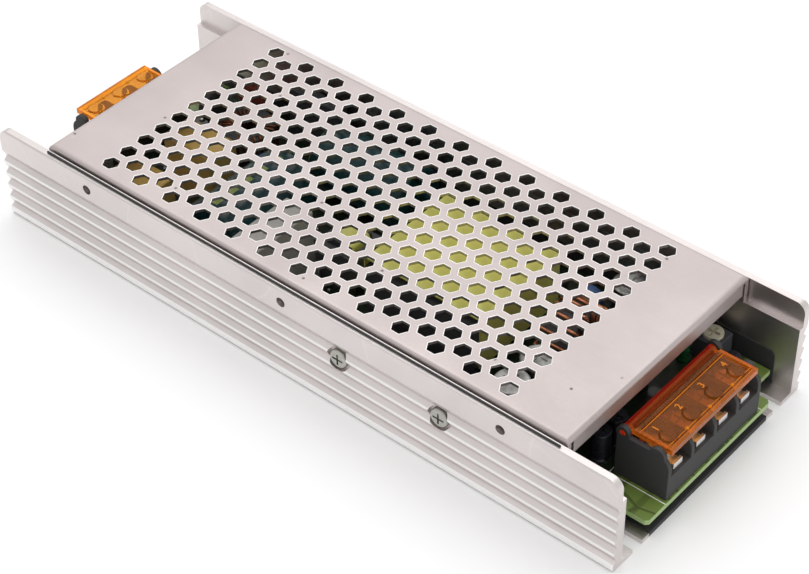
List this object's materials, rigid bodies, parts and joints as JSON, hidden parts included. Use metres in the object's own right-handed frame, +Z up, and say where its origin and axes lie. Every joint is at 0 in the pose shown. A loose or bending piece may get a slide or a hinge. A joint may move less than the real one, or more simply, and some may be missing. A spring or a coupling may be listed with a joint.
{
  "type": "enclosed switching power supply",
  "caption": "Slim enclosed power supply in a ribbed aluminium channel with a perforated cover and a barrier terminal block with an amber flip cover at each end.",
  "frame": {"origin": "centre of the footprint, on the underside of the channel's floor", "axes": "+X towards the output terminals, +Y across the case, +Z up from the mounting face"},
  "size_m": [0.207, 0.08, 0.031],
  "materials": {
    "aluminium_extrusion": "satin extruded aluminium",
    "cover_sheet": "satin sheet",
    "black_film": "thin insulating film",
    "board_green": "solder mask over glass laminate",
    "steel_plated": "zinc plated",
    "nickel_screw": "nickel plated",
    "black_moulding": "moulded thermoplastic",
    "amber_clear": "clear amber plastic",
    "tinned_brass": "tinned",
    "trimmer_cream": "cream plastic",
    "dark_plastic": "dark plastic",
    "led_green": "tinted clear resin",
    "ferrite": "sintered ferrite",
    "yellow_tape": "polyester tape",
    "copper_wire": "enamelled copper wire",
    "amber_case": "moulded capacitor case",
    "blue_coating": "dipped coating",
    "dark_red_coating": "dipped coating",
    "fuse_glass": "glass tube with metal caps",
    "teal_sleeve": "shrunk sleeve",
    "black_sleeve": "shrunk sleeve",
    "grey_case": "moulded case",
    "grey_pad": "filled silicone",
    "resistor_coat": "lacquered"
  },
  "bodies": {
    "housing": {"extruded_channel": "aluminium_extrusion", "perforated_cover": "cover_sheet", "insulating_film": "black_film", "circuit_board": "board_green", "board_standoffs": "steel_plated", "board_screws": "steel_plated", "output_terminal_block": "black_moulding", "output_contact_plates": "tinned_brass", "input_terminal_block": "black_moulding", "input_contact_plates": "tinned_brass", "trimmer_body": "dark_plastic", "status_led": "led_green", "small_capacitors": "black_sleeve", "transformer_core": "ferrite", "transformer_bobbin": "dark_plastic", "transformer_winding": "yellow_tape", "transformer_tape": "yellow_tape", "auxiliary_core": "ferrite", "auxiliary_bobbin": "dark_plastic", "auxiliary_winding": "yellow_tape", "output_choke_core": "ferrite", "output_choke_winding": "copper_wire", "line_choke_core": "ferrite", "line_choke_windings": "copper_wire", "line_choke_base": "dark_plastic", "x_capacitors": "amber_case", "box_capacitor": "grey_case", "y_capacitors": "blue_coating", "varistor": "dark_red_coating", "thermistor": "dark_plastic", "fuse_tube": "fuse_glass", "fuse_clips": "tinned_brass", "bridge_rectifier": "dark_plastic", "bulk_capacitors": "teal_sleeve", "output_capacitors": "black_sleeve", "power_devices": "dark_plastic", "thermal_pads": "grey_pad", "clamp_bar": "steel_plated", "wall_screws": "steel_plated", "control_chips": "dark_plastic", "resistors": "resistor_coat"},
    "output_cover": {"output_terminal_cover": "amber_clear"},
    "input_cover": {"input_terminal_cover": "amber_clear"},
    "output_clamp_1": {"output_washer_1": "nickel_screw"},
    "output_screw_turn_1": {"output_screw_1": "nickel_screw"},
    "output_clamp_2": {"output_washer_2": "nickel_screw"},
    "output_screw_turn_2": {"output_screw_2": "nickel_screw"},
    "output_clamp_3": {"output_washer_3": "nickel_screw"},
    "output_screw_turn_3": {"output_screw_3": "nickel_screw"},
    "output_clamp_4": {"output_washer_4": "nickel_screw"},
    "output_screw_turn_4": {"output_screw_4": "nickel_screw"},
    "input_clamp_1": {"input_washer_1": "nickel_screw"},
    "input_screw_turn_1": {"input_screw_1": "nickel_screw"},
    "input_clamp_2": {"input_washer_2": "nickel_screw"},
    "input_screw_turn_2": {"input_screw_2": "nickel_screw"},
    "input_clamp_3": {"input_washer_3": "nickel_screw"},
    "input_screw_turn_3": {"input_screw_3": "nickel_screw"},
    "trimmer": {"trimmer_rotor": "trimmer_cream"}
  },
  "joints": [
    {"name": "output_cover_hinge", "type": "hinge", "parent": "housing", "child": "output_cover", "pos_m": [0.0892, 0.0016, 0.0202], "axis": [0, -1, 0], "range_deg": [0, 90]},
    {"name": "input_cover_hinge", "type": "hinge", "parent": "housing", "child": "input_cover", "pos_m": [-0.0892, 0, 0.0202], "axis": [0, 1, 0], "range_deg": [0, 90]},
    {"name": "output_clamp_1_lift", "type": "slide", "parent": "housing", "child": "output_clamp_1", "axis": [0, 0, 1], "range_m": [0, 0.0025]},
    {"name": "output_screw_1_turn", "type": "hinge", "parent": "output_clamp_1", "child": "output_screw_turn_1", "pos_m": [0.0956, -0.01265, 0.0151], "axis": [0, 0, 1], "range_deg": [0, 1286]},
    {"name": "output_clamp_2_lift", "type": "slide", "parent": "housing", "child": "output_clamp_2", "axis": [0, 0, 1], "range_m": [0, 0.0025]},
    {"name": "output_screw_2_turn", "type": "hinge", "parent": "output_clamp_2", "child": "output_screw_turn_2", "pos_m": [0.0956, -0.00315, 0.0151], "axis": [0, 0, 1], "range_deg": [0, 1286]},
    {"name": "output_clamp_3_lift", "type": "slide", "parent": "housing", "child": "output_clamp_3", "axis": [0, 0, 1], "range_m": [0, 0.0025]},
    {"name": "output_screw_3_turn", "type": "hinge", "parent": "output_clamp_3", "child": "output_screw_turn_3", "pos_m": [0.0956, 0.00635, 0.0151], "axis": [0, 0, 1], "range_deg": [0, 1286]},
    {"name": "output_clamp_4_lift", "type": "slide", "parent": "housing", "child": "output_clamp_4", "axis": [0, 0, 1], "range_m": [0, 0.0025]},
    {"name": "output_screw_4_turn", "type": "hinge", "parent": "output_clamp_4", "child": "output_screw_turn_4", "pos_m": [0.0956, 0.01585, 0.0151], "axis": [0, 0, 1], "range_deg": [0, 1286]},
    {"name": "input_clamp_1_lift", "type": "slide", "parent": "housing", "child": "input_clamp_1", "axis": [0, 0, 1], "range_m": [0, 0.0025]},
    {"name": "input_screw_1_turn", "type": "hinge", "parent": "input_clamp_1", "child": "input_screw_turn_1", "pos_m": [-0.0956, 0.0095, 0.0151], "axis": [0, 0, 1], "range_deg": [0, 1286]},
    {"name": "input_clamp_2_lift", "type": "slide", "parent": "housing", "child": "input_clamp_2", "axis": [0, 0, 1], "range_m": [0, 0.0025]},
    {"name": "input_screw_2_turn", "type": "hinge", "parent": "input_clamp_2", "child": "input_screw_turn_2", "pos_m": [-0.0956, 0, 0.0151], "axis": [0, 0, 1], "range_deg": [0, 1286]},
    {"name": "input_clamp_3_lift", "type": "slide", "parent": "housing", "child": "input_clamp_3", "axis": [0, 0, 1], "range_m": [0, 0.0025]},
    {"name": "input_screw_3_turn", "type": "hinge", "parent": "input_clamp_3", "child": "input_screw_turn_3", "pos_m": [-0.0956, -0.0095, 0.0151], "axis": [0, 0, 1], "range_deg": [0, 1286]},
    {"name": "trimmer_turn", "type": "hinge", "parent": "housing", "child": "trimmer", "pos_m": [0.0825, 0.0309, 0.0139], "axis": [0, 0, 1], "range_deg": [-105, 105]}
  ],
  "couplings": [
    {"joint": "output_screw_1_turn", "follows": "output_clamp_1_lift", "rad_per_m": 8976},
    {"joint": "output_screw_2_turn", "follows": "output_clamp_2_lift", "rad_per_m": 8976},
    {"joint": "output_screw_3_turn", "follows": "output_clamp_3_lift", "rad_per_m": 8976},
    {"joint": "output_screw_4_turn", "follows": "output_clamp_4_lift", "rad_per_m": 8976},
    {"joint": "input_screw_1_turn", "follows": "input_clamp_1_lift", "rad_per_m": 8976},
    {"joint": "input_screw_2_turn", "follows": "input_clamp_2_lift", "rad_per_m": 8976},
    {"joint": "input_screw_3_turn", "follows": "input_clamp_3_lift", "rad_per_m": 8976}
  ]
}
